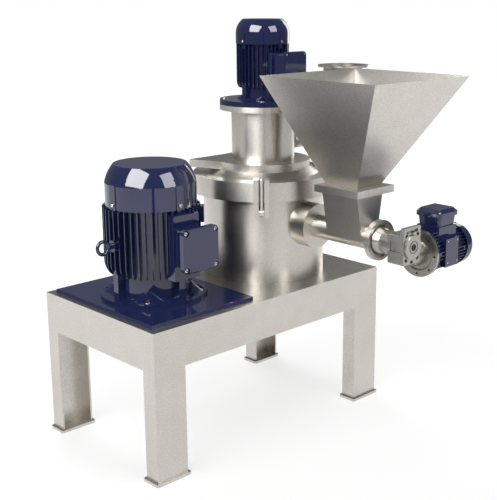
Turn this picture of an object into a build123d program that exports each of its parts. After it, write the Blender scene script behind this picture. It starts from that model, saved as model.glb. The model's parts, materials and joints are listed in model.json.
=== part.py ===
# Air classifying mill on a channel-iron stand: a vertical main motor drives the grinding rotor by
# V-belts inside the stand, a second motor turns the classifier wheel from above, and a screw
# feeder with its own gearmotor brings the material from a square hopper.
# Millimetres, +Z up, origin on the floor at the centre of the machine's bounding box.
from build123d import *
import os

os.makedirs("parts", exist_ok=True)

# Stand
stand_length = 1140
stand_width = 654
table_height = 549.5
table_thickness = 5
table_corner_radius = 4
rail_height = 140
rail_flange = 60
rail_wall = 7
leg_width = 131
leg_depth = 63
leg_wall = 7
foot_thickness = 10.5
foot_overhang = 9
foot_corner_radius = 8
table_shaft_hole = 51
motor_plate_hole = 41
cartridge_margin = 4
plate_bevel = 1.2

# Where the two vertical axes stand, counted from the middle of the stand
mill_offset = 243.5
main_motor_offset = -315

# Clearances
sheet_fit = 0.15
running_fit = 0.05
shaft_room = 1.2
part_gap = 0.3
cast_overlap = 4

# Motor plate
motor_plate_length = 457
motor_plate_width = 584
motor_plate_thickness = 14.5
motor_plate_left_margin = 22.5

# Main motor, counted from its flange face
main_flange_radius = 195
main_flange_thickness = 12
main_shield_radius = 136
main_bolt_circle = 170
main_bolt_hole = 7
main_bolt_head = 10
main_bolt_head_height = 3
main_rib_reach = 167
main_rib_width = 27
main_foot_rise = 38
main_frame_start = 93
main_frame_end = 335.5
main_fin_radius = 176.4
main_fin_foot_radius = 160
main_fin_foot_rise = 45
main_core_radius = 152
main_lug_height = 26
main_side_lug_reach = 190
main_side_lug_width = 34
main_side_lug_height = 60
side_lug_margin = 6
main_fin_thickness = 3.2
main_fin_count = 44
main_cowl_radius = 164.7
main_cowl_skirt = 85.5
main_cowl_height = 149.4
main_cowl_bulge = 4
main_cowl_wall = 2.5
main_cowl_pad_width = 31
main_cowl_top_radius = 132
main_shaft_radius = 21
main_shaft_length = 110
main_pad_width = 112
main_pad_margin = 10
main_pad_reach = 198
main_box_reach = 260
main_box_width = 144
main_box_height = 144
main_box_side = 17
main_box_centre = 208.5
main_lid_width = 158
main_lid_height = 157
main_lid_thickness = 23
main_lid_bevel = 5
eye_height = 208
eye_boss_radius = 21
eye_boss_root = 10
eye_shank_radius = 11
eye_ring_reach = 214
eye_ring_radius = 23
eye_wire_radius = 6.5

# Classifier motor, counted from its flange face
top_flange_radius = 169.4
top_flange_thickness = 21
class_flange_thickness = 19.1
class_bolt_circle = 150
class_bolt_hole = 7
class_bolt_head = 9.5
class_bolt_head_height = 3
class_rib_reach = 99
class_rib_width = 20
class_foot_rise = 18
class_shield_radius = 82
class_frame_start = 64
class_frame_end = 230.5
class_fin_radius = 102
class_core_radius = 88
class_fin_foot_radius = 94
class_fin_foot_rise = 22
class_lug_height = 16
class_fin_thickness = 2.4
class_fin_count = 36
class_cowl_radius = 103.8
class_cowl_skirt = 39.6
class_cowl_height = 93.5
class_cowl_bulge = 7.2
small_cowl_wall = 2
class_cowl_pad_width = 20
class_cowl_top_radius = 76.3
class_shaft_radius = 14
class_pad_reach = 106
class_box_reach = 185
class_box_width = 98
class_box_height = 92
class_box_centre = 154
class_lid_width = 111
class_lid_height = 104
class_lid_thickness = 16
class_lid_bevel = 4

# Mill body and lid
body_radius = 240.8
body_wall = 12
body_base = 20
body_flange_step = 21.2
body_flange_radius = body_radius + body_flange_step
body_flange_thickness = 18
ring_gap = 3
ring_wall = 14
ring_radius = body_flange_radius + ring_gap + ring_wall
ring_bottom = 328
ring_top = 401
lid_thickness = 25
lid_shelf = 57
lid_cone_slant = 34
lid_cone_radius = ring_radius - lid_shelf
lid_cone_top_radius = lid_cone_radius - lid_cone_slant
lid_cone_height = 20.2
lid_bore_radius = 112
gasket_thickness = 3

# Clamps round the lid
clamp_count = 3
first_clamp_angle = -135
clamp_width = 60
clamp_gap = 22
clamp_stand_out = 24
clamp_reach = ring_radius + clamp_stand_out
clamp_hook = 29
clamp_hook_radius = ring_radius - clamp_hook
clamp_bottom = 272.5
clamp_top = 416.5
clamp_split = 0.8
clamp_pin_radius = 5
clamp_pin_height = 290
clamp_pin_stand_out = 11
clamp_pin_reach = ring_radius + clamp_pin_stand_out
clamp_rod_radius = 8.2
clamp_eye_radius = 14
clamp_lip = 2.4
clamp_seat_height = 393
clamp_seat_thickness = 8

# Grinding zone
cartridge_radius = 68
cartridge_flange_radius = 105
cartridge_flange_thickness = 14
cartridge_height = 100
spindle_radius = 27.5
liner_thickness = 22.8
liner_tooth = 14
liner_gap = 6
rotor_radius = body_radius - body_wall - liner_thickness - liner_tooth - liner_gap
rotor_thickness = 18
hammer_count = 8
hammer_height = 30
hammer_length = 34
hammer_width = 22
liner_teeth = 36
liner_height = 62

# Classifier
neck_radius = 124.3
neck_wall = 6
neck_height = 195.6
scroll_radius = 185.8
scroll_height = 30
scroll_wall = 4
duct_end = -231.5
duct_back = 180
duct_front = 43
inlet_middle = -145
inlet_width = 130
wheel_radius = 122
wheel_height = 84
wheel_eye_radius = 96
vane_count = 24
vane_thickness = 3
shroud_margin = 18
shroud_radius = rotor_radius - shroud_margin
shroud_wall = 4
shroud_height = 92
tube_radius = 30
tube_margin = 2

# Outlet elbow
outlet_radius = 84.1
outlet_wall = 3
outlet_height = 106.3
outlet_bend = 229
outlet_reach = 471.6
outlet_flange_radius = 108
outlet_flange_thickness = 8
outlet_bolt_circle = 97
outlet_bolt_hole = 5.5
outlet_bolt_count = 8

# Feeder, its places counted from the mill's axis and from the table
feeder_height = 222.6
boss_radius = 85.1
boss_length = 63.3
boss_face = body_radius + boss_length
feeder_radius = 43.3
feeder_wall = 4
feeder_flange_radius = 74.2
feeder_flange_thickness = 20
feeder_end = 614.6
feeder_recess_radius = 63
feeder_recess_depth = 7
feeder_recess_slope = 20
throat_half_width = 71
throat_back = 387
throat_front = 556
throat_wall = 4
hopper_flange_half = 101.4
hopper_flange_back = 375.9
hopper_flange_front = 584.1
hopper_flange_bottom = 382.1
hopper_flange_thickness = 26
hopper_half_bottom = 64.6
hopper_bottom_back = 399.9
hopper_bottom_front = 549.8
hopper_half_rim = 258.5
hopper_rim_back = 253.2
hopper_rim_front = 784.5
hopper_height = 395.3
hopper_sheet = 3
screw_radius = 38.3
screw_shaft_radius = 13
screw_pitch = 62
flight_thickness = 4

# Gearbox and its motor
gear_centre = 702
gear_cone_radius = 54
gear_cone_length = 20
gear_sleeve_radius = 42
gear_body_back = 681
gear_body_front = 751
gear_plate_thickness = 15
gear_plate_top = 72
gear_body_top = 45
gear_body_bottom = -62
gear_corner_radius = 6
gear_centre_distance = 50
gear_half_width = 47
gear_recess_top = 20
gear_recess_bottom = -17
gear_recess_length = 31
gear_recess_depth = 12
gear_recess_shallow = 5
gear_pocket_circle = 54
gear_pocket_length = 11
gear_pocket_width = 15
gear_pocket_depth = 9
gear_pocket_count = 10
gear_pocket_turn = 18
gear_pocket_corner = 2
gear_pocket_rise = 4
gear_pocket_span = 64
gear_cover_radius = 44
gear_cover_thickness = 8
gear_cover_groove = 20
gear_hub_radius = 46
gear_hub_end_radius = 38
gear_dish_radius = 64
gear_dish_depth = 5
gear_flange_offset = 98.5
gear_flange_radius = 88
gear_flange_thickness = 10
gear_bolt_circle = 75
gear_bolt_hole = 4.5
feed_flange_thickness = 9
feed_shield_radius = 66
feed_frame_start = 22
feed_frame_end = 190
feed_fin_radius = 76
feed_core_radius = 66
feed_fin_foot_radius = 73
feed_fin_foot_rise = 8
feed_rib_reach = 74
feed_rib_width = 16
feed_lug_height = 14
feed_fin_thickness = 2.4
feed_fin_count = 36
feed_cowl_radius = 79
feed_cowl_skirt = 22
feed_cowl_height = 52
feed_cowl_bulge = 5.8
feed_cowl_pad_width = 16
feed_cowl_top_radius = 58
feed_shaft_radius = 9.5
feed_pad_reach = 92
feed_box_reach = 155
feed_box_width = 100
feed_box_height = 104
feed_box_centre = 99.5
feed_lid_width = 114
feed_lid_height = 116
feed_lid_thickness = 28
feed_lid_bevel = 13
feed_plate_centre = 93
feed_plate_length = 76
feed_plate_height = 104
feed_plate_reach = 78

# Belt drive under the table
motor_pulley_radius = 100
mill_pulley_radius = 62
pulley_top_gap = 12
pulley_height = 66
belt_count = 3
belt_pitch = 19
belt_drop = 0.5
belt_depth = 10
groove_width = 15.6
groove_depth = 13
groove_slope = 0.19

# Places in the model's own frame
stand_left = -(stand_length / 2 + foot_overhang)
stand_back = stand_width / 2 + foot_overhang
machine_right = mill_offset + outlet_reach + outlet_flange_radius
machine_front = -max(gear_centre + gear_flange_radius, hopper_rim_front)
stand_x = -(stand_left + machine_right) / 2
stand_y = -(stand_back + machine_front) / 2
mill_x = stand_x + mill_offset
mill_y = stand_y
motor_x = stand_x + main_motor_offset
motor_y = stand_y
rail_bottom = table_height - table_thickness - rail_height
rail_top = table_height - table_thickness
plate_top = table_height + motor_plate_thickness
body_top = table_height + ring_top - lid_thickness - gasket_thickness
lid_top = table_height + ring_top
scroll_bottom = lid_top + lid_cone_height
scroll_top = scroll_bottom + scroll_height
neck_top = scroll_top + neck_height
class_face = neck_top + top_flange_thickness
feeder_z = table_height + feeder_height
worm_z = feeder_z - gear_centre_distance
gear_y = mill_y - gear_centre
pulley_top = rail_top - pulley_top_gap
pulley_bottom = pulley_top - pulley_height
rotor_bottom = table_height + body_base + cartridge_height + part_gap
wheel_top = lid_top - lid_thickness - part_gap

table_plane = Plane((mill_x, mill_y, table_height))
main_plane = Plane((motor_x, motor_y, plate_top))
class_plane = Plane((mill_x, mill_y, class_face))
feed_plane = Plane(
    (mill_x + gear_flange_offset + gear_flange_thickness, gear_y, worm_z),
    x_dir=(0, -1, 0),
    z_dir=(1, 0, 0),
)


def section_plane(base):
    """Plane that holds the base's axis: its x is the radius, its y runs along the axis."""
    return Plane(base.origin, x_dir=base.x_dir, z_dir=-base.y_dir)


def turn(base, points):
    """Revolve a closed outline of (radius, height) points about the base's axis."""
    with BuildSketch(section_plane(base)) as outline:
        with BuildLine():
            Polyline(*points, close=True)
        make_face()
    revolve(outline.sketch, axis=Axis(base.origin, base.z_dir))


def save(piece, label):
    piece.part.label = label
    export_step(piece.part, f"parts/{label}.step")


# Stand rails: channels with their webs outside, mitred at the corners
rail_names = {"front": -90, "right": 0, "back": 90, "left": 180}
for side, turn_angle in rail_names.items():
    along_x = side in ("front", "back")
    run = stand_length if along_x else stand_width
    reach = (stand_width if along_x else stand_length) / 2
    rail_plane = Plane((stand_x, stand_y, rail_bottom)).rotated((0, 0, turn_angle))
    with BuildPart() as rail:
        with BuildSketch(rail_plane):
            with BuildLine():
                Polyline(
                    (reach, run / 2),
                    (reach, -run / 2),
                    (reach - rail_flange, -run / 2 + rail_flange),
                    (reach - rail_flange, run / 2 - rail_flange),
                    close=True,
                )
            make_face()
        extrude(amount=rail_height)
        with BuildSketch(rail_plane.offset(rail_wall)):
            with Locations((reach - rail_wall - rail_flange / 2, 0)):
                Rectangle(rail_flange, run)
        extrude(amount=rail_height - 2 * rail_wall, mode=Mode.SUBTRACT)
    save(rail, f"rail_{side}")

# Legs: channels that open inwards, each welded to its foot plate
leg_places = {
    "front_left": (-1, -1),
    "front_right": (1, -1),
    "back_left": (-1, 1),
    "back_right": (1, 1),
}
for corner, (side_x, side_y) in leg_places.items():
    leg_x = stand_x + side_x * (stand_length - leg_width) / 2
    leg_y = stand_y + side_y * (stand_width - leg_depth) / 2
    with BuildPart() as leg:
        with BuildSketch(Plane((leg_x, leg_y, 0))):
            RectangleRounded(
                leg_width + 2 * foot_overhang, leg_depth + 2 * foot_overhang, foot_corner_radius
            )
        extrude(amount=foot_thickness)
        with BuildSketch(Plane((leg_x, leg_y, foot_thickness))):
            Rectangle(leg_width, leg_depth)
            with Locations((0, -side_y * leg_wall)):
                Rectangle(leg_width - 2 * leg_wall, leg_depth, mode=Mode.SUBTRACT)
        extrude(amount=rail_bottom - foot_thickness)
    save(leg, f"leg_{corner}")

# Table top with the shaft holes for both vertical drives
with BuildPart() as table_top:
    with BuildSketch(Plane((stand_x, stand_y, rail_top))):
        RectangleRounded(stand_length, stand_width, table_corner_radius)
        with Locations((main_motor_offset, 0)):
            Circle(table_shaft_hole, mode=Mode.SUBTRACT)
        with Locations((mill_offset, 0)):
            Circle(cartridge_radius + cartridge_margin, mode=Mode.SUBTRACT)
    extrude(amount=table_thickness)
save(table_top, "table_top")

# Motor plate
plate_x = stand_x - stand_length / 2 + motor_plate_left_margin + motor_plate_length / 2
with BuildPart() as motor_plate:
    with BuildSketch(Plane((plate_x, motor_y, table_height))):
        Rectangle(motor_plate_length, motor_plate_width)
        with Locations((motor_x - plate_x, 0)):
            Circle(motor_plate_hole, mode=Mode.SUBTRACT)
    extrude(amount=motor_plate_thickness)
    chamfer(motor_plate.faces().sort_by(Axis.Z)[-1].outer_wire().edges(), plate_bevel)
save(motor_plate, "motor_plate")


def end_shield(base, flange, neck, bore_radius, holes, rib, foot_rise):
    """Flanged bearing shield: four ribs below the frame's lugs, and webs that rise between the bolts."""
    flange_radius, flange_thickness = flange
    neck_radius, height = neck
    hole_circle, hole_radius = holes
    rib_reach, rib_width = rib
    with BuildPart() as shield:
        turn(
            base,
            [
                (bore_radius, 0),
                (flange_radius, 0),
                (flange_radius, flange_thickness),
                (neck_radius + 2, flange_thickness),
                (neck_radius, flange_thickness + 2),
                (neck_radius, height),
                (bore_radius, height),
            ],
        )
        with BuildSketch(base.offset(flange_thickness)):
            with PolarLocations((neck_radius + rib_reach) / 2 - cast_overlap, 4):
                Rectangle(rib_reach - neck_radius + 2 * cast_overlap, rib_width)
        extrude(amount=height - flange_thickness)
        if foot_rise:
            foot_base = base.offset(flange_thickness)
            for angle in (45, 135, 225, 315):
                web_base = foot_base.rotated((0, 0, angle))
                web_foot = web_base.origin + web_base.x_dir * (neck_radius - cast_overlap)
                web_base = Plane(web_foot, z_dir=base.z_dir)
                with Locations(web_base.location):
                    Cone(foot_rise * 1.4, 0.2, foot_rise, align=(Align.CENTER, Align.CENTER, Align.MIN))
            with BuildSketch(foot_base):
                with PolarLocations(hole_circle, 4, start_angle=45):
                    Circle(hole_radius * 2)
            extrude(amount=foot_rise, mode=Mode.SUBTRACT)
        with BuildSketch(base):
            with PolarLocations(hole_circle, 4, start_angle=45):
                Circle(hole_radius)
        extrude(amount=flange_thickness, mode=Mode.SUBTRACT)
    return shield


def finned_frame(base, span, fins, foot, core_radius, bore_radius, lug, pad):
    """Cast frame with cooling fins rounded off at the foot, lugs at both ends and a terminal box pad."""
    start, end = span
    fin_radius, thickness, count = fins
    foot_radius, foot_rise = foot
    lug_reach, lug_width, lug_height = lug
    pad_width, pad_start, pad_end, pad_reach = pad
    with BuildPart() as frame:
        with BuildSketch(base.offset(start)):
            Circle(core_radius)
            with PolarLocations((core_radius + fin_radius) / 2 - 1, count, 180 / count):
                Rectangle(fin_radius - core_radius + 2, thickness)
        extrude(amount=end - start)
        with BuildSketch(section_plane(base)):
            with BuildLine():
                Line((0, start), (foot_radius, start))
                TangentArc((fin_radius, start + foot_rise), (foot_radius, start), tangent=(0, -1))
                Line((fin_radius, start + foot_rise), (fin_radius, end))
                Line((fin_radius, end), (0, end))
                Line((0, end), (0, start))
            make_face()
        revolve(axis=Axis(base.origin, base.z_dir), mode=Mode.INTERSECT)
        for lug_start in (start, end - lug_height):
            with BuildSketch(base.offset(lug_start)):
                with PolarLocations((core_radius + lug_reach) / 2 - cast_overlap, 4):
                    Rectangle(lug_reach - core_radius + 2 * cast_overlap, lug_width)
            extrude(amount=lug_height)
        with BuildSketch(base.offset(pad_start)):
            with Locations((0, -pad_reach / 2)):
                Rectangle(pad_width, pad_reach)
        extrude(amount=pad_end - pad_start)
        with BuildSketch(base.offset(start)):
            Circle(bore_radius)
        extrude(amount=end - start, mode=Mode.SUBTRACT)
    return frame


def fan_cowl(base, start, radius, skirt, height, top_radius, wall, bulge, pad):
    """Sheet cowl over the fan: a straight skirt, a domed shoulder, a plain end and four screw pads."""
    pad_reach, pad_width = pad
    chord = ((radius - top_radius) ** 2 + (height - skirt) ** 2) ** 0.5
    normal_x = (height - skirt) / chord
    normal_y = (radius - top_radius) / chord
    middle_x = (radius + top_radius) / 2 + bulge * normal_x
    middle_y = start + (skirt + height) / 2 + bulge * normal_y
    with BuildPart() as cowl:
        with BuildSketch(section_plane(base)):
            with BuildLine():
                Line((radius - wall, start), (radius, start))
                Line((radius, start), (radius, start + skirt))
                ThreePointArc(
                    (radius, start + skirt), (middle_x, middle_y), (top_radius, start + height)
                )
                Line((top_radius, start + height), (0, start + height))
                Line((0, start + height), (0, start + height - wall))
                Line((0, start + height - wall), (top_radius - wall, start + height - wall))
                ThreePointArc(
                    (top_radius - wall, start + height - wall),
                    (middle_x - wall * normal_x, middle_y - wall * normal_y),
                    (radius - wall, start + skirt),
                )
                Line((radius - wall, start + skirt), (radius - wall, start))
            make_face()
        revolve(axis=Axis(base.origin, base.z_dir))
        top_edges = cowl.edges().filter_by(GeomType.CIRCLE).sort_by(Axis(base.origin, base.z_dir))
        fillet(top_edges[-1], wall)
        with BuildSketch(base.offset(start)):
            with PolarLocations(radius, 4):
                Rectangle(2 * (pad_reach - radius), pad_width)
            Circle(radius - wall / 2, mode=Mode.SUBTRACT)
        extrude(amount=skirt + wall)
    return cowl


def box_plane(base, reach):
    """Plane that faces the terminal box's lid, at a reach from the motor's axis."""
    return Plane(base.origin, x_dir=base.x_dir, z_dir=-base.y_dir).offset(reach)


def terminal_box(base, size, centre, inner, outer):
    """Cast box that stands on the frame's pad."""
    width, height = size
    with BuildPart() as box:
        with BuildSketch(box_plane(base, inner)):
            with Locations(centre):
                RectangleRounded(width * 0.92, height * 0.92, width * 0.1)
        with BuildSketch(box_plane(base, outer)):
            with Locations(centre):
                RectangleRounded(width, height, width * 0.12)
        loft()
    return box


def terminal_lid(base, size, centre, inner, thickness, bevel):
    """Lid with rounded corners, a bevelled rim and a screw pocket in each corner."""
    width, height = size
    pocket = width * 0.065
    with BuildPart() as lid:
        with BuildSketch(box_plane(base, inner)):
            with Locations(centre):
                RectangleRounded(width, height, width * 0.13)
        extrude(amount=thickness)
        lid_axis = Axis(base.origin, -base.y_dir)
        chamfer(lid.faces().sort_by(lid_axis)[-1].edges(), bevel)
        with BuildSketch(box_plane(base, inner + thickness * 0.45)):
            with Locations(centre):
                with GridLocations(width - 2.6 * pocket, height - 2.6 * pocket, 2, 2):
                    Circle(pocket)
        extrude(amount=thickness, mode=Mode.SUBTRACT)
    return lid


def motor_fan(base, start, radius, thickness, shaft_radius):
    """Fan wheel with straight blades on the motor's free shaft end."""
    with BuildPart() as fan:
        with BuildSketch(base.offset(start)):
            Circle(radius * 0.92)
            Circle(shaft_radius, mode=Mode.SUBTRACT)
        extrude(amount=4)
        with BuildSketch(base.offset(start)):
            with PolarLocations(radius * 0.66, 7):
                Rectangle(radius * 0.6, 4)
        extrude(amount=thickness)
        with BuildSketch(base.offset(start)):
            Circle(shaft_radius + 12)
            Circle(shaft_radius, mode=Mode.SUBTRACT)
        extrude(amount=thickness)
    return fan


# Main motor
main_shield = end_shield(
    main_plane, (main_flange_radius, main_flange_thickness), (main_shield_radius, main_frame_start),
    main_shaft_radius + running_fit, (main_bolt_circle, main_bolt_hole),
    (main_rib_reach, main_rib_width), main_foot_rise,
)
save(main_shield, "main_motor_end_shield")
main_frame = finned_frame(
    main_plane, (main_frame_start, main_frame_end),
    (main_fin_radius, main_fin_thickness, main_fin_count),
    (main_fin_foot_radius, main_fin_foot_rise), main_core_radius, main_shaft_radius + shaft_room,
    (main_rib_reach, main_rib_width, main_lug_height),
    (main_pad_width, main_frame_start, main_frame_end - main_pad_margin, main_pad_reach),
)
eye_boss_plane = Plane((motor_x, motor_y, plate_top + eye_height), x_dir=(0, 1, 0), z_dir=(-1, 0, 0))
side_lug_start = main_frame_end - main_side_lug_height - side_lug_margin
with main_frame:
    with BuildSketch(eye_boss_plane.offset(main_core_radius - eye_boss_root)) as eye_boss:
        Circle(eye_boss_radius)
    extrude(eye_boss.sketch, amount=main_fin_radius - main_core_radius + eye_boss_root)
    with BuildSketch(main_plane.offset(side_lug_start)) as side_lug:
        with PolarLocations((main_core_radius + main_side_lug_reach) / 2 - cast_overlap, 1, -45):
            Rectangle(
                main_side_lug_reach - main_core_radius + 2 * cast_overlap, main_side_lug_width
            )
    extrude(side_lug.sketch, amount=main_side_lug_height)
save(main_frame, "main_motor_frame")
main_cowl = fan_cowl(
    main_plane, main_frame_end, main_cowl_radius, main_cowl_skirt, main_cowl_height,
    main_cowl_top_radius, main_cowl_wall, main_cowl_bulge, (main_rib_reach, main_cowl_pad_width),
)
save(main_cowl, "main_motor_cowl")
main_box = terminal_box(
    main_plane, (main_box_width, main_box_height), (main_box_side, main_box_centre),
    main_pad_reach, main_box_reach - main_lid_thickness,
)
save(main_box, "main_motor_terminal_box")
main_lid = terminal_lid(
    main_plane, (main_lid_width, main_lid_height), (main_box_side, main_box_centre),
    main_box_reach - main_lid_thickness, main_lid_thickness, main_lid_bevel,
)
save(main_lid, "main_motor_terminal_lid")
with BuildPart() as main_shaft:
    with BuildSketch(main_plane.offset(-main_shaft_length)):
        Circle(main_shaft_radius)
    extrude(amount=main_shaft_length + main_frame_end + 40)
save(main_shaft, "main_motor_shaft")
main_fan = motor_fan(main_plane, main_frame_end + 10, main_cowl_radius - 16, 36, main_shaft_radius)
save(main_fan, "main_motor_fan")
with BuildPart() as main_bolts:
    with BuildSketch(main_plane.offset(main_flange_thickness)):
        with PolarLocations(main_bolt_circle, 4, start_angle=45):
            Circle(main_bolt_head)
    extrude(amount=main_bolt_head_height)
    fillet(main_bolts.faces().sort_by(Axis.Z)[-4:].edges(), main_bolt_head_height / 2)
    with BuildSketch(main_plane.offset(main_flange_thickness)):
        with PolarLocations(main_bolt_circle, 4, start_angle=45):
            Circle(main_bolt_hole - part_gap)
    extrude(amount=-main_flange_thickness)
save(main_bolts, "main_motor_bolts")
eye_axis = Plane((motor_x, motor_y, plate_top + eye_height), x_dir=(0, 1, 0), z_dir=(-1, 0, 0))
eye_centre = eye_axis.offset(eye_ring_reach)
with BuildPart() as eyebolt:
    with BuildSketch(eye_axis.offset(main_fin_radius)):
        Circle(eye_shank_radius)
    extrude(amount=eye_ring_reach - eye_ring_radius - main_fin_radius)
    with BuildSketch(Plane(eye_centre.origin, x_dir=(1, 0, 0), z_dir=(0, 0, 1))):
        with Locations((eye_ring_radius, 0)):
            Circle(eye_wire_radius)
    revolve(axis=Axis(eye_centre.origin, (0, 1, 0)))
save(eyebolt, "main_motor_eyebolt")

# Mill body: turned shell with base, top flange, feed boss and lower clamp lugs
feed_axis_plane = Plane((mill_x, mill_y, feeder_z), x_dir=(1, 0, 0), z_dir=(0, -1, 0))
clamp_angles = [first_clamp_angle + 360 / clamp_count * number for number in range(clamp_count)]


def clamp_lugs(inner, lower, upper, hook=None):
    """Pairs of upright lug plates, spaced round the mill and cut to the given heights."""
    for angle in clamp_angles:
        lug_base = Plane(table_plane.origin).rotated((0, 0, angle))
        with BuildSketch(lug_base.offset(lower)) as lugs:
            with Locations((((inner + clamp_reach) / 2, 0))):
                Rectangle(clamp_reach - inner, clamp_width)
                Rectangle(clamp_reach - inner, clamp_gap, mode=Mode.SUBTRACT)
        extrude(lugs.sketch, amount=upper - lower)
        if hook:
            with BuildSketch(lug_base.offset(ring_top)) as hooks:
                with Locations((((hook + clamp_reach) / 2, 0))):
                    Rectangle(clamp_reach - hook, clamp_width)
                    Rectangle(clamp_reach - hook, clamp_gap, mode=Mode.SUBTRACT)
            extrude(hooks.sketch, amount=upper - ring_top)


with BuildPart() as mill_body:
    clamp_lugs(body_radius - body_wall / 2, clamp_bottom, ring_bottom - clamp_split)
    turn(
        table_plane,
        [
            (cartridge_radius + sheet_fit, 0),
            (body_radius, 0),
            (body_radius, body_top - table_height - body_flange_thickness),
            (body_flange_radius, body_top - table_height - body_flange_thickness),
            (body_flange_radius, body_top - table_height),
            (body_radius - body_wall, body_top - table_height),
            (body_radius - body_wall, body_base),
            (cartridge_radius + sheet_fit, body_base),
        ],
    )
    with BuildSketch(feed_axis_plane.offset(body_radius - body_wall)):
        Circle(boss_radius)
    extrude(amount=boss_face - body_radius + body_wall)
    with BuildSketch(table_plane.offset(body_base)):
        Circle(body_radius - body_wall)
    extrude(amount=ring_bottom, mode=Mode.SUBTRACT)
    with BuildSketch(feed_axis_plane):
        Circle(feeder_radius + sheet_fit)
    extrude(amount=boss_face, mode=Mode.SUBTRACT)
    for angle in clamp_angles:
        pin_plane = Plane(table_plane.origin).rotated((0, 0, angle)).offset(clamp_pin_height)
        with BuildSketch(section_plane(pin_plane)):
            with Locations((clamp_pin_reach, 0)):
                Circle(clamp_pin_radius + running_fit)
        extrude(amount=clamp_width, both=True, mode=Mode.SUBTRACT)
save(mill_body, "mill_body")

# Lid: skirt, top plate, low cone and upper clamp lugs with a slotted seat for the nut
with BuildPart() as lid:
    clamp_lugs(ring_radius - ring_wall / 2, ring_bottom, clamp_top, clamp_hook_radius)
    for angle in clamp_angles:
        seat_plane = Plane(table_plane.origin).rotated((0, 0, angle)).offset(clamp_seat_height)
        with BuildSketch(seat_plane):
            with Locations(((ring_radius + clamp_pin_reach) / 2 - 1, 0)):
                Rectangle(clamp_pin_reach - ring_radius + 2, clamp_gap)
                Rectangle(
                    clamp_pin_reach - ring_radius + 2, clamp_gap - 2 * clamp_lip, mode=Mode.SUBTRACT
                )
        extrude(amount=clamp_seat_thickness)
    turn(
        table_plane,
        [
            (lid_bore_radius, ring_top),
            (lid_bore_radius, ring_top + lid_cone_height),
            (lid_cone_top_radius, ring_top + lid_cone_height),
            (lid_cone_radius, ring_top),
            (ring_radius, ring_top),
            (ring_radius, ring_bottom),
            (ring_radius - ring_wall, ring_bottom),
            (ring_radius - ring_wall, ring_top - lid_thickness),
            (lid_bore_radius, ring_top - lid_thickness),
        ],
    )
save(lid, "lid")

with BuildPart() as lid_gasket:
    with BuildSketch(Plane((mill_x, mill_y, body_top))):
        Circle(body_flange_radius)
        Circle(body_radius - body_wall, mode=Mode.SUBTRACT)
    extrude(amount=gasket_thickness)
save(lid_gasket, "lid_gasket")

# Swing bolts with their round nuts, and the pins they hinge on
nut_bottom = clamp_seat_height + clamp_seat_thickness
for number, angle in enumerate(clamp_angles, start=1):
    bolt_base = Plane(table_plane.origin).rotated((0, 0, angle))
    eye_section = section_plane(bolt_base)
    rod_place = Plane(bolt_base.origin + bolt_base.x_dir * clamp_pin_reach)
    with BuildPart() as swing_bolt:
        with BuildSketch(rod_place.offset(clamp_pin_height)):
            Circle(clamp_rod_radius)
        extrude(amount=clamp_top + 3 - clamp_pin_height)
        fillet(swing_bolt.faces().sort_by(Axis.Z)[-1].edges(), clamp_rod_radius * 0.5)
        with BuildSketch(eye_section):
            with Locations((clamp_pin_reach, clamp_pin_height)):
                Circle(clamp_eye_radius)
        extrude(amount=clamp_gap / 2 - 1, both=True)
        with BuildSketch(eye_section):
            with Locations((clamp_pin_reach, clamp_pin_height)):
                Circle(clamp_pin_radius + running_fit)
        extrude(amount=clamp_gap, both=True, mode=Mode.SUBTRACT)
    with BuildPart() as round_nut:
        with BuildSketch(rod_place.offset(nut_bottom)):
            Circle(clamp_gap / 2 - 0.5)
            Circle(clamp_rod_radius, mode=Mode.SUBTRACT)
        extrude(amount=clamp_top - nut_bottom)
    bolt_and_nut = Compound(children=[swing_bolt.part, round_nut.part], label=f"swing_bolt_{number}")
    export_step(bolt_and_nut, f"parts/swing_bolt_{number}.step")

with BuildPart() as clamp_pins:
    for angle in clamp_angles:
        pin_base = section_plane(Plane(table_plane.origin).rotated((0, 0, angle)))
        with BuildSketch(pin_base):
            with Locations((clamp_pin_reach, clamp_pin_height)):
                Circle(clamp_pin_radius)
        extrude(amount=clamp_width / 2 + 2, both=True)
save(clamp_pins, "clamp_pins")

# Bearing cartridge that stands in the mill's base
cartridge_top = body_base + cartridge_height
with BuildPart() as bearing_cartridge:
    turn(
        table_plane,
        [
            (spindle_radius + running_fit, -table_thickness),
            (cartridge_radius, -table_thickness),
            (cartridge_radius, body_base),
            (cartridge_flange_radius, body_base),
            (cartridge_flange_radius, body_base + cartridge_flange_thickness),
            (cartridge_radius, body_base + cartridge_flange_thickness),
            (cartridge_radius - 8, cartridge_top),
            (spindle_radius + running_fit, cartridge_top),
        ],
    )
save(bearing_cartridge, "bearing_cartridge")

# Spindle with its collar, the grinding rotor and its hammers
with BuildPart() as spindle:
    turn(
        table_plane,
        [
            (0, pulley_bottom - table_height - 6),
            (spindle_radius, pulley_bottom - table_height - 6),
            (spindle_radius, cartridge_top + part_gap + rotor_thickness),
            (spindle_radius + 12, cartridge_top + part_gap + rotor_thickness),
            (spindle_radius + 12, cartridge_top + part_gap + rotor_thickness + 16),
            (0, cartridge_top + part_gap + rotor_thickness + 26),
        ],
    )
save(spindle, "mill_spindle")
with BuildPart() as grinding_rotor:
    with BuildSketch(Plane((mill_x, mill_y, rotor_bottom))):
        Circle(rotor_radius)
        Circle(spindle_radius, mode=Mode.SUBTRACT)
    extrude(amount=rotor_thickness)
save(grinding_rotor, "grinding_rotor")
with BuildPart() as hammers:
    with BuildSketch(Plane((mill_x, mill_y, rotor_bottom + rotor_thickness))):
        with PolarLocations(rotor_radius - hammer_length / 2, hammer_count):
            Rectangle(hammer_length, hammer_width)
    extrude(amount=hammer_height)
save(hammers, "rotor_hammers")
liner_radius = rotor_radius + liner_gap
liner_tooth_radius = 10
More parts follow.
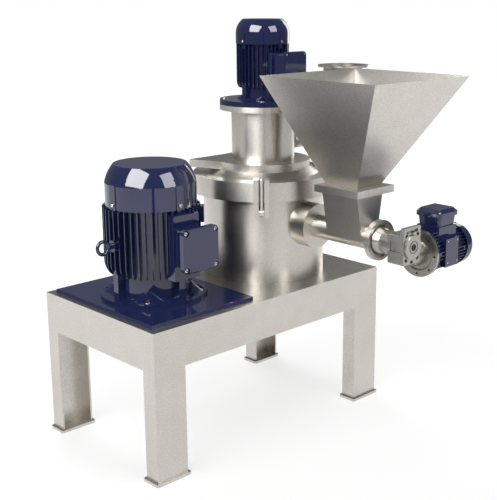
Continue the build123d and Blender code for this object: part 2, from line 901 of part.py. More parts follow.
with BuildPart() as liner:
    with BuildSketch(Plane((mill_x, mill_y, rotor_bottom - 8))):
        Circle(body_radius - body_wall - sheet_fit)
        Circle(liner_radius + liner_tooth, mode=Mode.SUBTRACT)
        with PolarLocations(liner_radius + liner_tooth_radius, liner_teeth):
            RegularPolygon(liner_tooth_radius, 3, rotation=180)
    extrude(amount=liner_height)
save(liner, "liner_ring")

# Shroud that hangs from the lid round the classifier wheel
with BuildPart() as shroud:
    with BuildSketch(Plane((mill_x, mill_y, lid_top - lid_thickness - shroud_height))):
        Circle(shroud_radius)
        Circle(shroud_radius - shroud_wall, mode=Mode.SUBTRACT)
        with PolarLocations(shroud_radius + 14, 8):
            Rectangle(29, shroud_wall)
    extrude(amount=shroud_height)
save(shroud, "shroud_ring")

# Classifier wheel: lower disc, vanes and an open upper ring
with BuildPart() as wheel:
    wheel_bottom = wheel_top - wheel_height
    with BuildSketch(Plane((mill_x, mill_y, wheel_bottom))):
        Circle(wheel_radius)
        Circle(class_shaft_radius, mode=Mode.SUBTRACT)
    extrude(amount=8)
    with BuildSketch(Plane((mill_x, mill_y, wheel_bottom))):
        with PolarLocations((wheel_radius + wheel_eye_radius) / 2, vane_count):
            Rectangle(wheel_radius - wheel_eye_radius - 1, vane_thickness)
        Circle(class_shaft_radius + 12)
        Circle(class_shaft_radius, mode=Mode.SUBTRACT)
    extrude(amount=wheel_height)
    with BuildSketch(Plane((mill_x, mill_y, wheel_top - 8))):
        Circle(wheel_radius)
        Circle(wheel_eye_radius, mode=Mode.SUBTRACT)
    extrude(amount=8)
save(wheel, "classifier_wheel")

# Flat air scroll under the neck: a ring that runs out into a duct, with its inlet in the duct's back
duct_root = (scroll_radius**2 - duct_front**2) ** 0.5
inlet_plane = Plane(
    (mill_x + inlet_middle, mill_y + duct_back, scroll_bottom + scroll_height / 2),
    x_dir=(-1, 0, 0),
    z_dir=(0, 1, 0),
)
with BuildPart() as scroll:
    for inset, way in ((0, Mode.ADD), (scroll_wall, Mode.SUBTRACT)):
        with BuildSketch(Plane((mill_x, mill_y, scroll_bottom + inset))):
            Circle(scroll_radius - inset)
            with BuildLine():
                Polyline(
                    (0, duct_back - inset),
                    (duct_end + 1.4 * inset, duct_back - inset),
                    (inset - duct_root, duct_front),
                    (0, duct_front),
                    close=True,
                )
            make_face()
            if inset:
                Circle(neck_radius, mode=Mode.SUBTRACT)
        extrude(amount=scroll_height - 2 * inset, mode=way)
    with BuildSketch(inlet_plane):
        Rectangle(inlet_width, scroll_height - 2 * scroll_wall)
    extrude(amount=-scroll_wall - 1, mode=Mode.SUBTRACT)
    with BuildSketch(Plane((mill_x, mill_y, scroll_bottom))):
        Circle(lid_bore_radius)
    extrude(amount=scroll_height, mode=Mode.SUBTRACT)
save(scroll, "air_scroll")

# Neck with its top flange and the hole for the outlet elbow
outlet_plane = Plane((mill_x, mill_y, scroll_top + outlet_height), x_dir=(0, 1, 0), z_dir=(1, 0, 0))
with BuildPart() as neck:
    turn(
        Plane((mill_x, mill_y, scroll_top)),
        [
            (neck_radius - neck_wall, 0),
            (neck_radius, 0),
            (neck_radius, neck_height),
            (top_flange_radius, neck_height),
            (top_flange_radius, neck_height + top_flange_thickness),
            (tube_radius + sheet_fit, neck_height + top_flange_thickness),
            (tube_radius + sheet_fit, neck_height),
            (neck_radius - neck_wall, neck_height),
        ],
    )
    with BuildSketch(outlet_plane):
        Circle(outlet_radius + sheet_fit)
    extrude(amount=neck_radius + 5, mode=Mode.SUBTRACT)
save(neck, "neck")
with BuildPart() as shaft_tube:
    tube_bottom = wheel_top + 6
    with BuildSketch(Plane((mill_x, mill_y, tube_bottom))):
        Circle(tube_radius)
        Circle(class_shaft_radius + running_fit, mode=Mode.SUBTRACT)
    extrude(amount=class_face - tube_bottom)
save(shaft_tube, "shaft_tube")

# Outlet elbow with its flange
with BuildPart() as outlet:
    with BuildLine() as bend:
        outlet_origin = outlet_plane.origin
        bend_start = outlet_origin + (outlet_reach - outlet_bend, 0, 0)
        bend_run = Line(outlet_origin + (neck_radius - neck_wall - 12, 0, 0), bend_start)
        bend_end = bend_start + (outlet_bend, 0, outlet_bend)
        bend_arc = TangentArc(bend_start, bend_end, tangent=(1, 0, 0))
    with BuildSketch(Plane(bend_run @ 0, x_dir=(0, 1, 0), z_dir=(1, 0, 0))):
        Circle(outlet_radius)
        Circle(outlet_radius - outlet_wall, mode=Mode.SUBTRACT)
    sweep(path=bend.line)
    with BuildSketch(Plane(bend_end)):
        Circle(outlet_flange_radius)
        Circle(outlet_radius - outlet_wall, mode=Mode.SUBTRACT)
        with PolarLocations(outlet_bolt_circle, outlet_bolt_count):
            Circle(outlet_bolt_hole, mode=Mode.SUBTRACT)
    extrude(amount=outlet_flange_thickness)
    with BuildSketch(Plane((mill_x, mill_y, scroll_top))):
        Circle(neck_radius - neck_wall)
    extrude(amount=neck_height, mode=Mode.SUBTRACT)
save(outlet, "outlet_elbow")

# Classifier motor
class_shield = end_shield(
    class_plane, (top_flange_radius, class_flange_thickness), (class_shield_radius, class_frame_start),
    tube_radius + tube_margin, (class_bolt_circle, class_bolt_hole), (class_rib_reach, class_rib_width),
    class_foot_rise,
)
save(class_shield, "classifier_motor_end_shield")
with BuildPart() as class_bolts:
    with BuildSketch(class_plane.offset(class_flange_thickness)):
        with PolarLocations(class_bolt_circle, 4, start_angle=45):
            Circle(class_bolt_head)
    extrude(amount=class_bolt_head_height)
    fillet(class_bolts.faces().sort_by(Axis.Z)[-4:].edges(), class_bolt_head_height / 2)
    with BuildSketch(class_plane.offset(class_flange_thickness)):
        with PolarLocations(class_bolt_circle, 4, start_angle=45):
            Circle(class_bolt_hole - part_gap)
    extrude(amount=-class_flange_thickness)
save(class_bolts, "classifier_motor_bolts")
class_frame = finned_frame(
    class_plane, (class_frame_start, class_frame_end),
    (class_fin_radius, class_fin_thickness, class_fin_count),
    (class_fin_foot_radius, class_fin_foot_rise), class_core_radius, class_shaft_radius + shaft_room,
    (class_rib_reach, class_rib_width, class_lug_height),
    (
        class_box_width + 2 * cast_overlap, class_box_centre - class_box_height / 2,
        class_box_centre + class_box_height / 2, class_pad_reach,
    ),
)
save(class_frame, "classifier_motor_frame")
class_cowl = fan_cowl(
    class_plane, class_frame_end, class_cowl_radius, class_cowl_skirt, class_cowl_height,
    class_cowl_top_radius, small_cowl_wall, class_cowl_bulge,
    (class_cowl_radius + small_cowl_wall, class_cowl_pad_width),
)
save(class_cowl, "classifier_motor_cowl")
class_box = terminal_box(
    class_plane, (class_box_width, class_box_height), (0, class_box_centre), class_pad_reach,
    class_box_reach - class_lid_thickness,
)
save(class_box, "classifier_motor_terminal_box")
class_lid = terminal_lid(
    class_plane, (class_lid_width, class_lid_height), (0, class_box_centre),
    class_box_reach - class_lid_thickness, class_lid_thickness, class_lid_bevel,
)
save(class_lid, "classifier_motor_terminal_lid")
with BuildPart() as class_shaft:
    with BuildSketch(Plane((mill_x, mill_y, wheel_top - wheel_height - 10))):
        Circle(class_shaft_radius)
    extrude(amount=class_face + class_frame_end + 30 - wheel_top + wheel_height + 10)
save(class_shaft, "classifier_shaft")
class_fan = motor_fan(class_plane, class_frame_end + 6, class_cowl_radius - 12, 22, class_shaft_radius)
save(class_fan, "classifier_motor_fan")

# Feeder tube with its throat and end flange
throat_top = table_height + hopper_flange_bottom
with BuildPart() as feeder_tube:
    with BuildSketch(feed_axis_plane.offset(body_radius - body_wall)):
        Circle(feeder_radius)
    extrude(amount=feeder_end - body_radius + body_wall)
    with BuildSketch(feed_axis_plane.offset(feeder_end - feeder_flange_thickness)):
        Circle(feeder_flange_radius)
    extrude(amount=feeder_flange_thickness)
    throat_middle = (throat_back + throat_front) / 2
    throat_length = throat_front - throat_back
    with BuildSketch(Plane((mill_x, mill_y - throat_middle, feeder_z))):
        Rectangle(2 * feeder_radius, throat_length)
    with BuildSketch(Plane((mill_x, mill_y - throat_middle, throat_top))):
        Rectangle(2 * throat_half_width, throat_length)
    loft()
    with BuildSketch(Plane((mill_x, mill_y - throat_middle, feeder_z))):
        Rectangle(2 * feeder_radius - 2 * throat_wall, throat_length - 2 * throat_wall)
    with BuildSketch(Plane((mill_x, mill_y - throat_middle, throat_top))):
        Rectangle(2 * throat_half_width - 2 * throat_wall, throat_length - 2 * throat_wall)
    loft(mode=Mode.SUBTRACT)
    with BuildSketch(feed_axis_plane.offset(body_radius - body_wall)):
        Circle(feeder_radius - feeder_wall)
    extrude(amount=feeder_end - body_radius + body_wall, mode=Mode.SUBTRACT)
    with BuildSketch(feed_axis_plane.offset(feeder_end)):
        Circle(feeder_recess_radius)
    extrude(amount=-feeder_recess_depth, taper=-feeder_recess_slope, mode=Mode.SUBTRACT)
save(feeder_tube, "feeder_tube")

# Hopper: sheet pyramid on its square flange
hopper_bottom = throat_top + hopper_flange_thickness
flange_middle = (hopper_flange_back + hopper_flange_front) / 2
with BuildPart() as hopper:
    with BuildSketch(Plane((mill_x, mill_y - flange_middle, throat_top))):
        Rectangle(2 * hopper_flange_half, hopper_flange_front - hopper_flange_back)
    extrude(amount=hopper_flange_thickness)
    for inset, way in ((0, Mode.ADD), (hopper_sheet, Mode.SUBTRACT)):
        bottom_middle = (hopper_bottom_back + hopper_bottom_front) / 2
        rim_middle = (hopper_rim_back + hopper_rim_front) / 2
        with BuildSketch(Plane((mill_x, mill_y - bottom_middle, hopper_bottom))):
            Rectangle(
                2 * (hopper_half_bottom - inset), hopper_bottom_front - hopper_bottom_back - 2 * inset
            )
        with BuildSketch(Plane((mill_x, mill_y - rim_middle, hopper_bottom + hopper_height))):
            Rectangle(2 * (hopper_half_rim - inset), hopper_rim_front - hopper_rim_back - 2 * inset)
        loft(mode=way)
    with BuildSketch(Plane((mill_x, mill_y - bottom_middle, throat_top))):
        Rectangle(
            2 * (hopper_half_bottom - hopper_sheet),
            hopper_bottom_front - hopper_bottom_back - 2 * hopper_sheet,
        )
    extrude(amount=hopper_flange_thickness, mode=Mode.SUBTRACT)
save(hopper, "hopper")

# Feed screw
screw_start = body_radius - body_wall
screw_end = gear_body_front + gear_cover_thickness - 2
flight_run = feeder_end - feeder_flange_thickness - screw_start
with BuildPart() as screw:
    with BuildSketch(feed_axis_plane.offset(screw_start)):
        Circle(screw_shaft_radius)
    extrude(amount=screw_end - screw_start)
    flight_path = Helix(
        pitch=screw_pitch, height=flight_run, radius=screw_radius,
        center=feed_axis_plane.offset(screw_start).origin, direction=feed_axis_plane.z_dir,
    )
    flight_out = flight_path @ 0 - feed_axis_plane.offset(screw_start).origin
    with BuildSketch(Plane(flight_path @ 0, x_dir=flight_out, z_dir=flight_path % 0)):
        with Locations((-(screw_radius - screw_shaft_radius) / 2 - 0.5, 0)):
            Rectangle(screw_radius - screw_shaft_radius + 1, flight_thickness)
    sweep(path=flight_path, is_frenet=True)
save(screw, "feed_screw")

# Gearbox: sleeve, ribbed housing, cover and input flange
recess_middle = (gear_recess_top + gear_recess_bottom) / 2
recess_height = gear_recess_top - gear_recess_bottom
with BuildPart() as gearbox:
    with BuildSketch(feed_axis_plane.offset(gear_body_back)):
        with Locations((0, (gear_body_top + gear_body_bottom) / 2)):
            RectangleRounded(
                2 * gear_half_width, gear_body_top - gear_body_bottom, gear_corner_radius
            )
    extrude(amount=gear_body_front - gear_body_back)
    with BuildSketch(feed_axis_plane.offset(gear_body_front - gear_plate_thickness)):
        with Locations((0, (gear_plate_top + gear_body_bottom) / 2)):
            RectangleRounded(
                2 * gear_half_width, gear_plate_top - gear_body_bottom, gear_corner_radius
            )
    extrude(amount=gear_plate_thickness)
    with BuildSketch(feed_axis_plane.offset(gear_body_back)):
        with Locations((-gear_half_width, recess_middle), (gear_half_width, recess_middle)):
            Rectangle(2 * gear_recess_depth, recess_height)
    extrude(amount=gear_recess_length, mode=Mode.SUBTRACT)
    with BuildSketch(feed_axis_plane.offset(gear_body_back + gear_recess_length)):
        with Locations((-gear_half_width, recess_middle), (gear_half_width, recess_middle)):
            Rectangle(2 * gear_recess_shallow, recess_height)
    extrude(
        amount=gear_body_front - gear_plate_thickness - gear_body_back - gear_recess_length,
        mode=Mode.SUBTRACT,
    )
    with BuildSketch(feed_axis_plane.offset(gear_body_front)):
        with PolarLocations(gear_pocket_circle, gear_pocket_count, gear_pocket_turn):
            RectangleRounded(gear_pocket_length, gear_pocket_width, gear_pocket_corner)
        with Locations((0, gear_pocket_circle + gear_pocket_rise)):
            RectangleRounded(gear_pocket_span, gear_pocket_length, gear_pocket_corner)
    extrude(amount=-gear_pocket_depth, mode=Mode.SUBTRACT)
    turn(
        feed_axis_plane,
        [
            (screw_shaft_radius + running_fit, feeder_end - feeder_recess_depth + part_gap),
            (gear_cone_radius, feeder_end - feeder_recess_depth + part_gap),
            (gear_sleeve_radius, feeder_end + gear_cone_length),
            (gear_sleeve_radius, gear_body_back + cast_overlap),
            (screw_shaft_radius + running_fit, gear_body_back + cast_overlap),
        ],
    )
    with BuildSketch(feed_axis_plane):
        Circle(screw_shaft_radius + running_fit)
    extrude(amount=gear_body_front, mode=Mode.SUBTRACT)
save(gearbox, "gearbox_housing")
with BuildPart() as gear_cover:
    turn(
        feed_axis_plane,
        [
            (screw_shaft_radius + running_fit, gear_body_front),
            (gear_cover_radius, gear_body_front),
            (gear_cover_radius, gear_body_front + gear_cover_thickness - 1),
            (gear_cover_radius - 1, gear_body_front + gear_cover_thickness),
            (gear_cover_groove + 1.5, gear_body_front + gear_cover_thickness),
            (gear_cover_groove + 1.5, gear_body_front + gear_cover_thickness - 2),
            (gear_cover_groove, gear_body_front + gear_cover_thickness - 2),
            (gear_cover_groove, gear_body_front + gear_cover_thickness),
            (screw_shaft_radius + running_fit, gear_body_front + gear_cover_thickness),
        ],
    )
save(gear_cover, "gearbox_cover")
with BuildPart() as gear_flange:
    turn(
        feed_plane,
        [
            (feed_shaft_radius + shaft_room, 0),
            (gear_flange_radius, 0),
            (gear_flange_radius, -gear_flange_thickness),
            (gear_dish_radius, -gear_flange_thickness),
            (gear_dish_radius - gear_dish_depth, gear_dish_depth - gear_flange_thickness),
            (gear_hub_radius, gear_dish_depth - gear_flange_thickness),
            (gear_hub_end_radius, gear_half_width - gear_flange_offset - gear_flange_thickness),
            (feed_shaft_radius + shaft_room, gear_half_width - gear_flange_offset - gear_flange_thickness),
        ],
    )
    with BuildSketch(feed_plane):
        with PolarLocations(gear_bolt_circle, 8):
            Circle(gear_bolt_hole)
    extrude(amount=-gear_flange_thickness, mode=Mode.SUBTRACT)
save(gear_flange, "gearbox_flange")

# Gearmotor
feed_shield = end_shield(
    feed_plane, (gear_flange_radius - 1, feed_flange_thickness), (feed_shield_radius, feed_frame_start),
    feed_shaft_radius + running_fit, (gear_bolt_circle, gear_bolt_hole),
    (feed_rib_reach, feed_rib_width), 0,
)
save(feed_shield, "gearmotor_end_shield")
feed_frame = finned_frame(
    feed_plane, (feed_frame_start, feed_frame_end),
    (feed_fin_radius, feed_fin_thickness, feed_fin_count),
    (feed_fin_foot_radius, feed_fin_foot_rise), feed_core_radius, feed_shaft_radius + shaft_room,
    (feed_rib_reach, feed_rib_width, feed_lug_height),
    (
        feed_box_width, feed_box_centre - feed_box_height / 2,
        feed_box_centre + feed_box_height / 2, feed_pad_reach,
    ),
)
with feed_frame:
    with BuildSketch(feed_plane.offset(feed_plate_centre - feed_plate_length / 2)) as side_plate:
        Rectangle(2 * feed_plate_reach, feed_plate_height)
        Circle(feed_core_radius - cast_overlap, mode=Mode.SUBTRACT)
    extrude(side_plate.sketch, amount=feed_plate_length)
save(feed_frame, "gearmotor_frame")
feed_cowl = fan_cowl(
    feed_plane, feed_frame_end, feed_cowl_radius, feed_cowl_skirt, feed_cowl_height,
    feed_cowl_top_radius, small_cowl_wall, feed_cowl_bulge,
    (feed_cowl_radius + small_cowl_wall, feed_cowl_pad_width),
)
save(feed_cowl, "gearmotor_cowl")
feed_box = terminal_box(
    feed_plane, (feed_box_width, feed_box_height), (0, feed_box_centre), feed_pad_reach,
    feed_box_reach - feed_lid_thickness,
)
save(feed_box, "gearmotor_terminal_box")
feed_lid = terminal_lid(
    feed_plane, (feed_lid_width, feed_lid_height), (0, feed_box_centre),
    feed_box_reach - feed_lid_thickness, feed_lid_thickness, feed_lid_bevel,
)
save(feed_lid, "gearmotor_terminal_lid")
with BuildPart() as feed_shaft:
    with BuildSketch(feed_plane):
        Circle(feed_shaft_radius)
    extrude(amount=feed_frame_end + 24)
save(feed_shaft, "gearmotor_shaft")


def groove_height(number):
    """Height of a groove's middle above the pulley's lower face."""
    return pulley_height / 2 + (number - (belt_count - 1) / 2) * belt_pitch


def groove_half(depth):
    """Half width of a groove at a depth below the pulley's rim."""
    return groove_width / 2 - depth * groove_slope


def grooved_pulley(centre_x, radius, bore_radius):
    """V-belt pulley with one groove for each belt."""
    pulley_plane = Plane((centre_x, mill_y, pulley_bottom))
    outline = [(bore_radius, 0), (radius, 0)]
    for number in range(belt_count):
        middle = groove_height(number)
        outline += [
            (radius, middle - groove_half(0)),
            (radius - groove_depth, middle - groove_half(groove_depth)),
            (radius - groove_depth, middle + groove_half(groove_depth)),
            (radius, middle + groove_half(0)),
        ]
    outline += [(radius, pulley_height), (bore_radius, pulley_height)]
    with BuildPart() as pulley:
        turn(pulley_plane, outline)
    return pulley


motor_pulley = grooved_pulley(motor_x, motor_pulley_radius, main_shaft_radius)
save(motor_pulley, "motor_pulley")
mill_pulley = grooved_pulley(mill_x, mill_pulley_radius, spindle_radius)
save(mill_pulley, "mill_pulley")

# V-belts: each a closed loop that lies in its own pair of grooves
belt_span = mill_x - motor_x
pitch_drop = belt_drop + belt_depth / 2
big_radius = motor_pulley_radius - pitch_drop
small_radius = mill_pulley_radius - pitch_drop
belt_lean = (big_radius - small_radius) / belt_span
belt_rise = (1 - belt_lean**2) ** 0.5
with BuildPart() as belts:
    for number in range(belt_count):
        loop_plane = Plane((motor_x, motor_y, pulley_bottom + groove_height(number)))
        with BuildLine(loop_plane) as loop:
            Line(
                (big_radius * belt_lean, big_radius * belt_rise),
                (belt_span + small_radius * belt_lean, small_radius * belt_rise),
            )
            ThreePointArc(
                (belt_span + small_radius * belt_lean, small_radius * belt_rise),
                (belt_span + small_radius, 0),
                (belt_span + small_radius * belt_lean, -small_radius * belt_rise),
            )
            Line(
                (belt_span + small_radius * belt_lean, -small_radius * belt_rise),
                (big_radius * belt_lean, -big_radius * belt_rise),
            )
            ThreePointArc(
                (big_radius * belt_lean, -big_radius * belt_rise),
                (-big_radius, 0),
                (big_radius * belt_lean, big_radius * belt_rise),
            )
        loop_wire = loop.wire()
        outer_half = groove_half(belt_drop) - part_gap
        inner_half = groove_half(belt_drop + belt_depth) - part_gap
        with BuildSketch(Plane(loop_wire @ 0, x_dir=(0, 0, -1), z_dir=loop_wire % 0)):
            with BuildLine():
                Polyline(
                    (-outer_half, belt_depth / 2),
                    (outer_half, belt_depth / 2),
                    (inner_half, -belt_depth / 2),
                    (-inner_half, -belt_depth / 2),
                    close=True,
                )
            make_face()
        sweep(path=loop_wire)
save(belts, "drive_belts")
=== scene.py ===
# Finishes, fasteners, studio and camera for an air classifying mill: navy enamelled motors on a
# bead blasted stainless stand, round a turned stainless grinding chamber.
import json
import math

import bmesh
import bpy
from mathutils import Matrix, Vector


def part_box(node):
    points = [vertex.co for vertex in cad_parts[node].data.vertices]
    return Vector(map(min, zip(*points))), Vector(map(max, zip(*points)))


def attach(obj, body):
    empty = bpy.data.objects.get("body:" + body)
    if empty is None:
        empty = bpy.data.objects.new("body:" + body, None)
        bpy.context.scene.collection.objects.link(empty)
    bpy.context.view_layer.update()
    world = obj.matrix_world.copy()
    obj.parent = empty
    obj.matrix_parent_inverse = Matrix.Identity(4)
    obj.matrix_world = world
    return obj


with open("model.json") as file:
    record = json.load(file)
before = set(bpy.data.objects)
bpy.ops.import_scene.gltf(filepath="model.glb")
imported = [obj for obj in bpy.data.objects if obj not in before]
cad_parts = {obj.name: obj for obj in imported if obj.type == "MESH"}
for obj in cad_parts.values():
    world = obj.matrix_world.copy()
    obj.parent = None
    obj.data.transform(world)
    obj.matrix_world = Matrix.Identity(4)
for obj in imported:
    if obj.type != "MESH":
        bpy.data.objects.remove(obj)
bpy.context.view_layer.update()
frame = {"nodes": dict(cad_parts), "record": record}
nodes = frame["nodes"]

MM = 0.001


def linear(hex_code):
    """sRGB hex such as "2a3468" to linear red, green and blue."""
    values = [int(hex_code[place:place + 2], 16) / 255 for place in (0, 2, 4)]
    return [v / 12.92 if v <= 0.04045 else ((v + 0.055) / 1.055) ** 2.4 for v in values]


def add(tree, kind, inputs=None, **settings):
    """Add a node. settings are its own properties; inputs are its sockets' values or what feeds them."""
    new = tree.nodes.new(kind)
    for name, value in settings.items():
        setattr(new, name, value)
    for name, value in (inputs or {}).items():
        if isinstance(value, bpy.types.NodeSocket):
            tree.links.new(value, new.inputs[name])
        else:
            new.inputs[name].default_value = value
    return new


def add_object(name, mesh, material):
    """A new object in the scene with one material."""
    mesh.materials.append(material)
    made = bpy.data.objects.new(name, mesh)
    bpy.context.scene.collection.objects.link(made)
    return made


def mesh_of(name, shape):
    """The mesh of a finished bmesh, which is freed."""
    mesh = bpy.data.meshes.new(name)
    shape.to_mesh(mesh)
    shape.free()
    return mesh


def new_material(name):
    """An empty material with its output node, and the place of each point in metres."""
    material = bpy.data.materials.new(name)
    material.use_nodes = True
    tree = material.node_tree
    tree.nodes.clear()
    output = add(tree, "ShaderNodeOutputMaterial")
    place = add(tree, "ShaderNodeTexCoord").outputs["Object"]
    return material, tree, output, place


def grain(tree, place, size_mm, low, high):
    """Soft random grains, sized in millimetres: remapped from low to high, and as they are."""
    noise = add(
        tree, "ShaderNodeTexNoise",
        {"Vector": place, "Scale": 1 / (size_mm * MM), "Detail": 2.0, "Roughness": 0.6},
    )
    spread = add(
        tree, "ShaderNodeMapRange",
        {"Value": noise.outputs["Fac"], "From Min": 0.3, "From Max": 0.7, "To Min": low, "To Max": high},
    )
    return spread.outputs["Result"], noise.outputs["Fac"]


def bead_blasted_stainless():
    """Bead blasted stainless: dull and even, with a peened grain that the eye sees as a light speckle."""
    material, tree, output, place = new_material("bead_blasted_stainless")
    # Such peening is usually about 0.2 mm wide and too fine to show, so it is drawn 4 mm wide
    speckle, height = grain(tree, place, size_mm=4.0, low=0.78, high=1.12)
    # A slow change of tone over the sheet, as wide as a pass of a blasting nozzle might be
    cloud, _ = grain(tree, place, size_mm=90, low=0.97, high=1.03)
    tone = add(tree, "ShaderNodeMath", {0: speckle, 1: cloud}, operation="MULTIPLY").outputs["Value"]
    colour = add(tree, "ShaderNodeVectorMath", {0: linear("cfcbc4"), "Scale": tone}, operation="SCALE")
    roughness, _ = grain(tree, place, size_mm=3.0, low=0.30, high=0.38)
    bump = add(tree, "ShaderNodeBump", {"Height": height, "Strength": 0.16, "Distance": 0.4 * MM})
    shader = add(
        tree, "ShaderNodeBsdfPrincipled",
        {
            "Base Color": colour.outputs["Vector"],
            "Metallic": 1.0,
            "Roughness": roughness,
            "Normal": bump.outputs["Normal"],
        },
    )
    tree.links.new(shader.outputs["BSDF"], output.inputs["Surface"])
    return material


def turned_stainless(name, centre, axis):
    """Turned stainless: fine rings round the axis stretch each highlight across the rings."""
    material, tree, output, place = new_material(name)
    arm = add(tree, "ShaderNodeVectorMath", {0: place, 1: centre}, operation="SUBTRACT")
    ring_way = add(
        tree, "ShaderNodeVectorMath", {0: axis, 1: arm.outputs["Vector"]}, operation="CROSS_PRODUCT"
    )
    facing = add(tree, "ShaderNodeNewGeometry").outputs["Normal"]
    tangent = add(
        tree, "ShaderNodeVectorMath", {0: facing, 1: ring_way.outputs["Vector"]}, operation="CROSS_PRODUCT"
    )
    tangent = add(tree, "ShaderNodeVectorMath", {0: tangent.outputs["Vector"]}, operation="NORMALIZE")
    # Turned rings are usually under 0.2 mm apart, so they show only as the stretch of the highlights.
    # The metal's fine grain is too fine to show as well, and is drawn 3.5 mm wide
    speckle, height = grain(tree, place, size_mm=3.5, low=0.84, high=1.10)
    colour = add(tree, "ShaderNodeVectorMath", {0: linear("ccc8c1"), "Scale": speckle}, operation="SCALE")
    roughness, _ = grain(tree, place, size_mm=3.0, low=0.30, high=0.36)
    bump = add(tree, "ShaderNodeBump", {"Height": height, "Strength": 0.02, "Distance": 0.3 * MM})
    shader = add(
        tree, "ShaderNodeBsdfPrincipled",
        {
            "Base Color": colour.outputs["Vector"],
            "Metallic": 1.0,
            "Roughness": roughness,
            "Anisotropic": 0.6,
            "Tangent": tangent.outputs["Vector"],
            "Normal": bump.outputs["Normal"],
        },
    )
    tree.links.new(shader.outputs["BSDF"], output.inputs["Surface"])
    return material


def navy_enamel():
    """Stoved navy enamel over castings: glossy, with a faint orange peel."""
    material, tree, output, place = new_material("navy_enamel")
    # Orange peel is usually a few millimetres wide and too fine to show, so it is drawn 18 mm wide
    tone, height = grain(tree, place, size_mm=18, low=0.96, high=1.04)
    colour = add(tree, "ShaderNodeVectorMath", {0: linear("1a2145"), "Scale": tone}, operation="SCALE")
    bump = add(tree, "ShaderNodeBump", {"Height": height, "Strength": 0.01, "Distance": 0.2 * MM})
    shader = add(
        tree, "ShaderNodeBsdfPrincipled",
        {
            "Base Color": colour.outputs["Vector"],
            "Roughness": 0.07,
            "IOR": 1.55,
            "Coat Weight": 0.25,
            "Coat Roughness": 0.04,
            "Normal": bump.outputs["Normal"],
        },
    )
    tree.links.new(shader.outputs["BSDF"], output.inputs["Surface"])
    return material


def die_cast_aluminium():
    """Die cast aluminium: pale, with a fine cast skin."""
    material, tree, output, place = new_material("die_cast_aluminium")
    # A cast skin's grain is usually about 0.5 mm wide and too fine to show, so it is drawn 2.5 mm wide
    tone, height = grain(tree, place, size_mm=2.5, low=0.92, high=1.06)
    colour = add(tree, "ShaderNodeVectorMath", {0: linear("a5a39d"), "Scale": tone}, operation="SCALE")
    bump = add(tree, "ShaderNodeBump", {"Height": height, "Strength": 0.2, "Distance": 0.3 * MM})
    shader = add(
        tree, "ShaderNodeBsdfPrincipled",
        {
            "Base Color": colour.outputs["Vector"],
            "Metallic": 1.0,
            "Roughness": 0.3,
            "Normal": bump.outputs["Normal"],
        },
    )
    tree.links.new(shader.outputs["BSDF"], output.inputs["Surface"])
    return material


def ground_steel(name, hex_code, roughness):
    """Ground or plated steel: bright, with a faint grain."""
    material, tree, output, place = new_material(name)
    # Grinding marks are usually under 0.1 mm wide and too fine to show, so they are drawn 1.5 mm wide
    tone, _ = grain(tree, place, size_mm=1.5, low=0.93, high=1.05)
    colour = add(tree, "ShaderNodeVectorMath", {0: linear(hex_code), "Scale": tone}, operation="SCALE")
    shader = add(
        tree, "ShaderNodeBsdfPrincipled",
        {"Base Color": colour.outputs["Vector"], "Metallic": 1.0, "Roughness": roughness},
    )
    tree.links.new(shader.outputs["BSDF"], output.inputs["Surface"])
    return material


def dull_black(name, hex_code, roughness, size_mm):
    """Black rubber or moulded plastic: matt, a little uneven over a few millimetres."""
    material, tree, output, place = new_material(name)
    tone, height = grain(tree, place, size_mm, low=0.8, high=1.2)
    colour = add(tree, "ShaderNodeVectorMath", {0: linear(hex_code), "Scale": tone}, operation="SCALE")
    bump = add(tree, "ShaderNodeBump", {"Height": height, "Strength": 0.15, "Distance": 0.2 * MM})
    shader = add(
        tree, "ShaderNodeBsdfPrincipled",
        {
            "Base Color": colour.outputs["Vector"],
            "Roughness": roughness,
            "Normal": bump.outputs["Normal"],
        },
    )
    tree.links.new(shader.outputs["BSDF"], output.inputs["Surface"])
    return material


# The machine's axes, in metres
neck_low, neck_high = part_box("neck")
mill_axis = Vector(((neck_low.x + neck_high.x) / 2, (neck_low.y + neck_high.y) / 2, 0))
screw_low, screw_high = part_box("feed_screw")
feeder_axis = Vector((mill_axis.x, 0, (screw_low.z + screw_high.z) / 2))

blasted = bead_blasted_stainless()
turned = turned_stainless("turned_stainless", mill_axis, (0, 0, 1))
turned_feeder = turned_stainless("turned_feeder_stainless", feeder_axis, (0, 1, 0))
enamel = navy_enamel()
cast = die_cast_aluminium()
shaft_steel = ground_steel("ground_shaft_steel", "b8b8b6", roughness=0.2)
hard_steel = ground_steel("hardened_tool_steel", "77736e", roughness=0.4)
zinc = ground_steel("zinc_plated_steel", "c9c8c2", roughness=0.25)
iron = ground_steel("machined_cast_iron", "5c5c5d", roughness=0.5)
rubber = dull_black("black_rubber", "1c1c1d", roughness=0.7, size_mm=3)
plastic = dull_black("moulded_black_plastic", "1a1b1d", roughness=0.5, size_mm=5)

finish_of_slot = {
    "stainless_blasted": blasted,
    "stainless_turned": turned,
    "navy_enamel": enamel,
    "cast_aluminium": cast,
    "shaft_steel": shaft_steel,
    "hardened_steel": hard_steel,
    "zinc_plate": zinc,
    "fan_plastic": plastic,
    "pulley_iron": iron,
    "black_rubber": rubber,
}
# The feeder tube was turned about its own axis, not the mill's
finish_of_node = {"feeder_tube": turned_feeder}
for subpart in frame["record"]["subparts"]:
    finish = finish_of_node.get(subpart["node"], finish_of_slot[subpart["material_slot"]])
    mesh = nodes[subpart["node"]].data
    mesh.materials.clear()
    mesh.materials.append(finish)

# Screws: the number of sides, then shares of the head's radius, and the socket's floor as a share of the
# head's height
SCREW_SIDES = 24
SCREW_BEVEL = 0.14
SOCKET_RADIUS = 0.58
SOCKET_FLOOR = 0.4
COWL_SCREW_HEIGHT = 0.6

